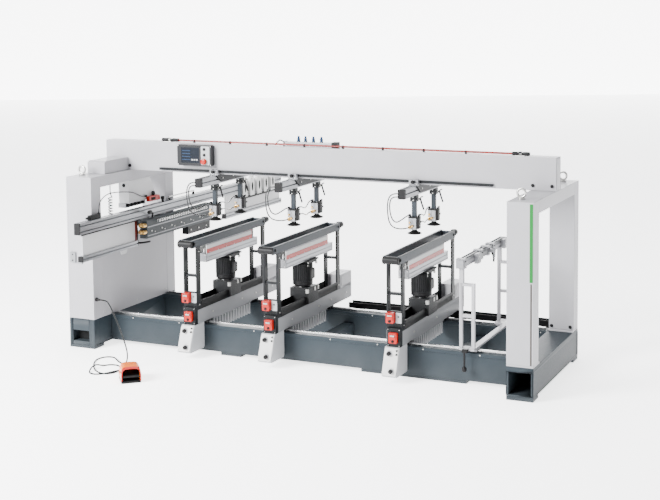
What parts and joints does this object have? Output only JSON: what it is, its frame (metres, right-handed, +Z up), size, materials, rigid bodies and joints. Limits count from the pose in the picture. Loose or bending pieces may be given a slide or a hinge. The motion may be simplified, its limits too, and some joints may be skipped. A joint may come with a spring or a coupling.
{
  "type": "multi-spindle boring machine",
  "caption": "Panel boring machine with a horizontal head by a long fence, vertical heads on carriages, hold-down arms on a beam, a control panel and a foot pedal.",
  "frame": {"origin": "on the floor, under the middle of the machine's box (the foot pedal and its cord not counted)", "axes": "+X along the machine from the fence to the open portal, +Y from the operator's side to the back, +Z up"},
  "size_m": [3.2, 3.2503, 1.423],
  "materials": {
    "enamel_light": "satin light warm grey paint, slightly textured",
    "enamel_slate": "satin dark slate blue-grey paint",
    "enamel_anthracite": "satin anthracite paint",
    "enamel_grey": "satin mid grey paint",
    "extrusion_aluminium": "natural anodised, long slots",
    "head_alloy": "machined cast alloy",
    "bright_steel": "ground and oiled",
    "zinc_steel": "zinc plated",
    "black_plastic": "moulded, fine texture",
    "panel_plastic": "moulded bezel with glass screen",
    "counter_plastic": "white front plate with red counters and black knobs",
    "red_plastic": "moulded",
    "pedal_yellow": "moulded yellow-orange",
    "rubber_black": "plain",
    "cable_jacket": "plain jacket",
    "hose_black": "polyurethane tube",
    "motor_grey": "cast motor housing, dark grey paint",
    "comb_white": "white fingers"
  },
  "bodies": {
    "frame": {"base_frame": "enamel_slate", "levelling_feet": "enamel_slate", "guide_rails": "bright_steel", "left_column": "enamel_light", "right_portal": "enamel_light", "overhead_beam": "enamel_light", "frame_fasteners": "zinc_steel", "air_supply": "head_alloy", "control_panel": "panel_plastic", "cable_tray": "black_plastic", "cable_glands": "black_plastic", "column_hoses": "hose_black", "fence_rails": "extrusion_aluminium", "fence_plates": "comb_white", "pedal_housing": "pedal_yellow", "pedal_cord": "cable_jacket"},
    "start_button": {"start_button": "black_plastic"},
    "stop_button": {"stop_button": "black_plastic"},
    "estop_button": {"estop_button": "red_plastic"},
    "pedal_treadle": {"pedal_treadle": "rubber_black"},
    "horizontal_unit": {"horizontal_head": "enamel_grey", "horizontal_spindles": "bright_steel", "horizontal_motor": "motor_grey"},
    "stand": {"support_stand": "enamel_light"},
    "station1": {"station1_carriage": "enamel_grey", "station1_controls": "counter_plastic", "station1_frame": "enamel_anthracite"},
    "station1_drill_unit": {"station1_head": "head_alloy", "station1_motor": "motor_grey", "station1_spindles": "bright_steel"},
    "arm1": {"arm1_beam": "extrusion_aluminium", "arm1_hoses": "hose_black"},
    "arm1_front_clamp": {"arm1_front_clamp": "head_alloy"},
    "arm1_front_foot": {"arm1_front_foot": "rubber_black"},
    "arm1_rear_clamp": {"arm1_rear_clamp": "head_alloy"},
    "arm1_rear_foot": {"arm1_rear_foot": "rubber_black"},
    "station2": {"station2_carriage": "enamel_grey", "station2_controls": "counter_plastic", "station2_frame": "enamel_anthracite"},
    "station2_drill_unit": {"station2_head": "head_alloy", "station2_motor": "motor_grey", "station2_spindles": "bright_steel"},
    "arm2": {"arm2_beam": "extrusion_aluminium", "arm2_hoses": "hose_black"},
    "arm2_front_clamp": {"arm2_front_clamp": "head_alloy"},
    "arm2_front_foot": {"arm2_front_foot": "rubber_black"},
    "arm2_rear_clamp": {"arm2_rear_clamp": "head_alloy"},
    "arm2_rear_foot": {"arm2_rear_foot": "rubber_black"},
    "station3": {"station3_carriage": "enamel_grey", "station3_controls": "counter_plastic", "station3_frame": "enamel_anthracite"},
    "station3_drill_unit": {"station3_head": "head_alloy", "station3_motor": "motor_grey", "station3_spindles": "bright_steel"},
    "arm3": {"arm3_beam": "extrusion_aluminium", "arm3_hoses": "hose_black"},
    "arm3_front_clamp": {"arm3_front_clamp": "head_alloy"},
    "arm3_front_foot": {"arm3_front_foot": "rubber_black"},
    "arm3_rear_clamp": {"arm3_rear_clamp": "head_alloy"},
    "arm3_rear_foot": {"arm3_rear_foot": "rubber_black"}
  },
  "joints": [
    {"name": "start_press", "type": "slide", "parent": "frame", "child": "start_button", "axis": [0, 1, 0], "range_m": [0, 0.004], "stiffness_N_per_m": 600, "springref_m": -0.003},
    {"name": "stop_press", "type": "slide", "parent": "frame", "child": "stop_button", "axis": [0, 1, 0], "range_m": [0, 0.004], "stiffness_N_per_m": 600, "springref_m": -0.003},
    {"name": "estop_press", "type": "slide", "parent": "frame", "child": "estop_button", "axis": [0, 1, 0], "range_m": [0, 0.004], "stiffness_N_per_m": 600, "springref_m": -0.003},
    {"name": "treadle_press", "type": "hinge", "parent": "frame", "child": "pedal_treadle", "pos_m": [-0.81642, -1.68717, 0.046], "axis": [0.766, 0.6428, 0], "range_deg": [0, 8], "stiffness_Nm_per_rad": 6, "springref_deg": -8.59},
    {"name": "horizontal_feed", "type": "slide", "parent": "frame", "child": "horizontal_unit", "axis": [1, 0, 0], "range_m": [0, 0.06]},
    {"name": "station1_traverse", "type": "slide", "parent": "frame", "child": "station1", "axis": [1, 0, 0], "range_m": [-0.4, 0.2]},
    {"name": "station1_lift", "type": "slide", "parent": "station1", "child": "station1_drill_unit", "axis": [0, 0, 1], "range_m": [0, 0.055]},
    {"name": "arm1_traverse", "type": "slide", "parent": "frame", "child": "arm1", "axis": [1, 0, 0], "range_m": [-0.4, 0.2]},
    {"name": "arm1_front_adjust", "type": "slide", "parent": "arm1", "child": "arm1_front_clamp", "axis": [0, 1, 0], "range_m": [-0.05, 0.05], "deforming": ["arm1_hoses"]},
    {"name": "arm1_front_stroke", "type": "slide", "parent": "arm1_front_clamp", "child": "arm1_front_foot", "axis": [0, 0, -1], "range_m": [0, 0.04]},
    {"name": "arm1_rear_adjust", "type": "slide", "parent": "arm1", "child": "arm1_rear_clamp", "axis": [0, 1, 0], "range_m": [-0.05, 0.05], "deforming": ["arm1_hoses"]},
    {"name": "arm1_rear_stroke", "type": "slide", "parent": "arm1_rear_clamp", "child": "arm1_rear_foot", "axis": [0, 0, -1], "range_m": [0, 0.04]},
    {"name": "station2_traverse", "type": "slide", "parent": "frame", "child": "station2", "axis": [1, 0, 0], "range_m": [-0.2, 0.33]},
    {"name": "station2_lift", "type": "slide", "parent": "station2", "child": "station2_drill_unit", "axis": [0, 0, 1], "range_m": [0, 0.055]},
    {"name": "arm2_traverse", "type": "slide", "parent": "frame", "child": "arm2", "axis": [1, 0, 0], "range_m": [-0.2, 0.33]},
    {"name": "arm2_front_adjust", "type": "slide", "parent": "arm2", "child": "arm2_front_clamp", "axis": [0, 1, 0], "range_m": [-0.05, 0.05], "deforming": ["arm2_hoses"]},
    {"name": "arm2_front_stroke", "type": "slide", "parent": "arm2_front_clamp", "child": "arm2_front_foot", "axis": [0, 0, -1], "range_m": [0, 0.04]},
    {"name": "arm2_rear_adjust", "type": "slide", "parent": "arm2", "child": "arm2_rear_clamp", "axis": [0, 1, 0], "range_m": [-0.05, 0.05], "deforming": ["arm2_hoses"]},
    {"name": "arm2_rear_stroke", "type": "slide", "parent": "arm2_rear_clamp", "child": "arm2_rear_foot", "axis": [0, 0, -1], "range_m": [0, 0.04]},
    {"name": "station3_traverse", "type": "slide", "parent": "frame", "child": "station3", "axis": [1, 0, 0], "range_m": [-0.33, 0.145]},
    {"name": "station3_lift", "type": "slide", "parent": "station3", "child": "station3_drill_unit", "axis": [0, 0, 1], "range_m": [0, 0.055]},
    {"name": "arm3_traverse", "type": "slide", "parent": "frame", "child": "arm3", "axis": [1, 0, 0], "range_m": [-0.33, 0.145]},
    {"name": "arm3_front_adjust", "type": "slide", "parent": "arm3", "child": "arm3_front_clamp", "axis": [0, 1, 0], "range_m": [-0.05, 0.05], "deforming": ["arm3_hoses"]},
    {"name": "arm3_front_stroke", "type": "slide", "parent": "arm3_front_clamp", "child": "arm3_front_foot", "axis": [0, 0, -1], "range_m": [0, 0.04]},
    {"name": "arm3_rear_adjust", "type": "slide", "parent": "arm3", "child": "arm3_rear_clamp", "axis": [0, 1, 0], "range_m": [-0.05, 0.05], "deforming": ["arm3_hoses"]},
    {"name": "arm3_rear_stroke", "type": "slide", "parent": "arm3_rear_clamp", "child": "arm3_rear_foot", "axis": [0, 0, -1], "range_m": [0, 0.04]},
    {"name": "stand_traverse", "type": "slide", "parent": "frame", "child": "stand", "axis": [1, 0, 0], "range_m": [-0.15, 0.2]}
  ]
}
